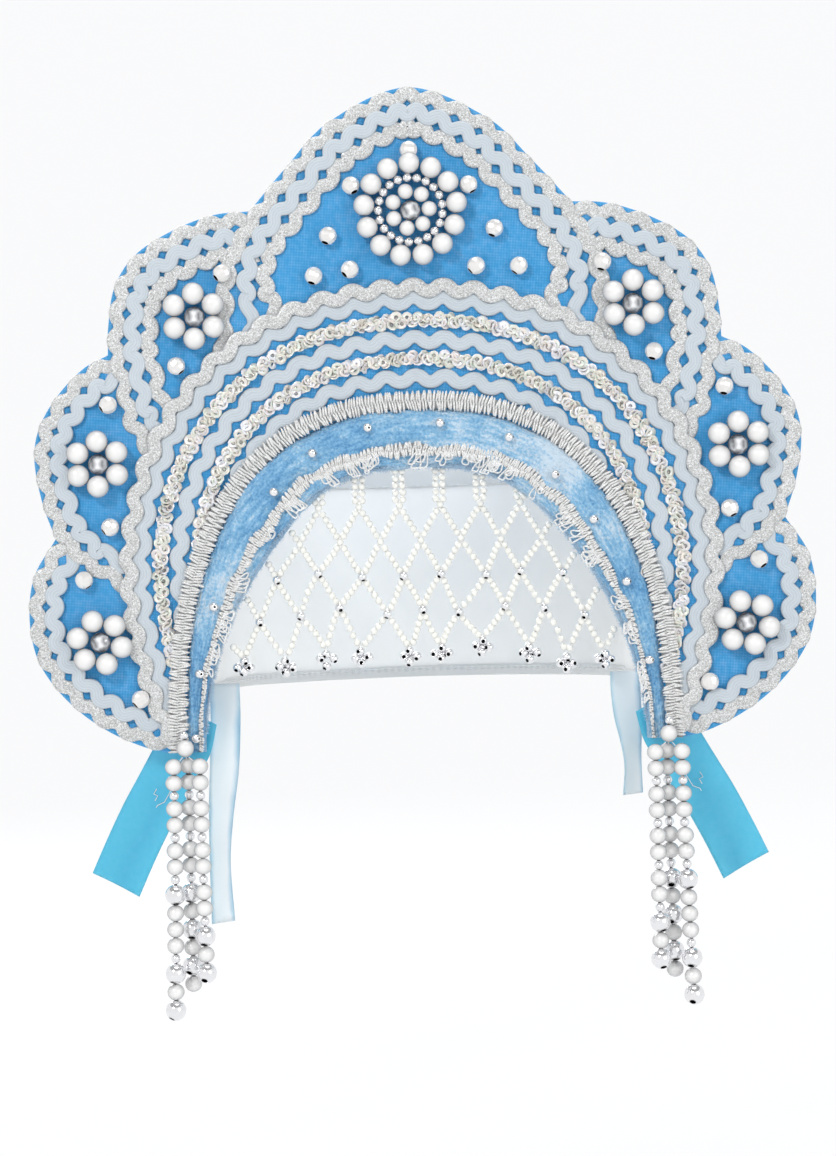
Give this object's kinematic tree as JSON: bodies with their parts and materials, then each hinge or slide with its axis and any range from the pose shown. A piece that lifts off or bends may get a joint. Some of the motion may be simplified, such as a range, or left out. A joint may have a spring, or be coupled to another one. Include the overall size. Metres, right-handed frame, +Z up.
{
  "type": "kokoshnik headdress",
  "caption": "Fan-shaped scalloped festive headdress with a padded arch band, rickrack trims, pearl flowers, a forehead bead net, bead pendants and tie ribbons.",
  "frame": {"origin": "where it sits on the head: the top of the arch's lip, in the middle of the board's thickness", "axes": "+Z up through the peak of the crown, +X to the viewer's right from the front, -Y out of the decorated face"},
  "size_m": [0.323, 0.203, 0.3783],
  "materials": {
    "blue_cloth": "bright blue woven satin over stiff board",
    "light_blue_plush": "light blue brushed plush, padded",
    "silver_braid": "silver lurex braid, slightly glittering",
    "white_braid": "white rickrack braid, matt thread",
    "sequins": "iridescent sequin string",
    "pearl": "white imitation pearl",
    "crystal": "clear faceted acrylic stone on silver foil",
    "strand_beads": "imitation pearls with silvered beads between",
    "net_pearls": "small cream pearls with silvered beads at the knots",
    "sheer_cloth": "thin white stiffened cloth, hemmed",
    "turquoise_satin": "turquoise satin ribbon",
    "sheer_ribbon": "pale translucent ribbon"
  },
  "bodies": {
    "root": {"crown_board": "blue_cloth", "padded_band": "light_blue_plush", "outer_gimp_braid": "silver_braid", "inner_loop_braid": "silver_braid", "white_rickrack_inner": "white_braid", "white_rickrack_middle": "white_braid", "white_rickrack_outer": "white_braid", "sequin_string_inner": "sequins", "sequin_string_outer": "sequins", "pearl_flower_upper_left": "pearl", "pearl_flower_upper_right": "pearl", "pearl_flower_middle_left": "pearl", "pearl_flower_middle_right": "pearl", "pearl_flower_lower_left": "pearl", "pearl_flower_lower_right": "pearl", "crystal_upper_left": "crystal", "crystal_upper_right": "crystal", "crystal_middle_left": "crystal", "crystal_middle_right": "crystal", "crystal_lower_left": "crystal", "crystal_lower_right": "crystal", "medallion_pearls": "pearl", "medallion_crystal": "crystal", "hanger_pearl_left": "pearl", "bead_strand_left_outer": "strand_beads", "bead_strand_left_middle": "strand_beads", "bead_strand_left_inner": "strand_beads", "hanger_pearl_right": "pearl", "bead_strand_right_outer": "strand_beads", "bead_strand_right_middle": "strand_beads", "bead_strand_right_inner": "strand_beads", "bead_net": "net_pearls", "back_panel": "sheer_cloth", "tie_ribbon_left": "turquoise_satin", "tie_ribbon_right": "turquoise_satin", "pale_ribbon_left": "sheer_ribbon", "pale_ribbon_right": "sheer_ribbon"}
  },
  "joints": []
}
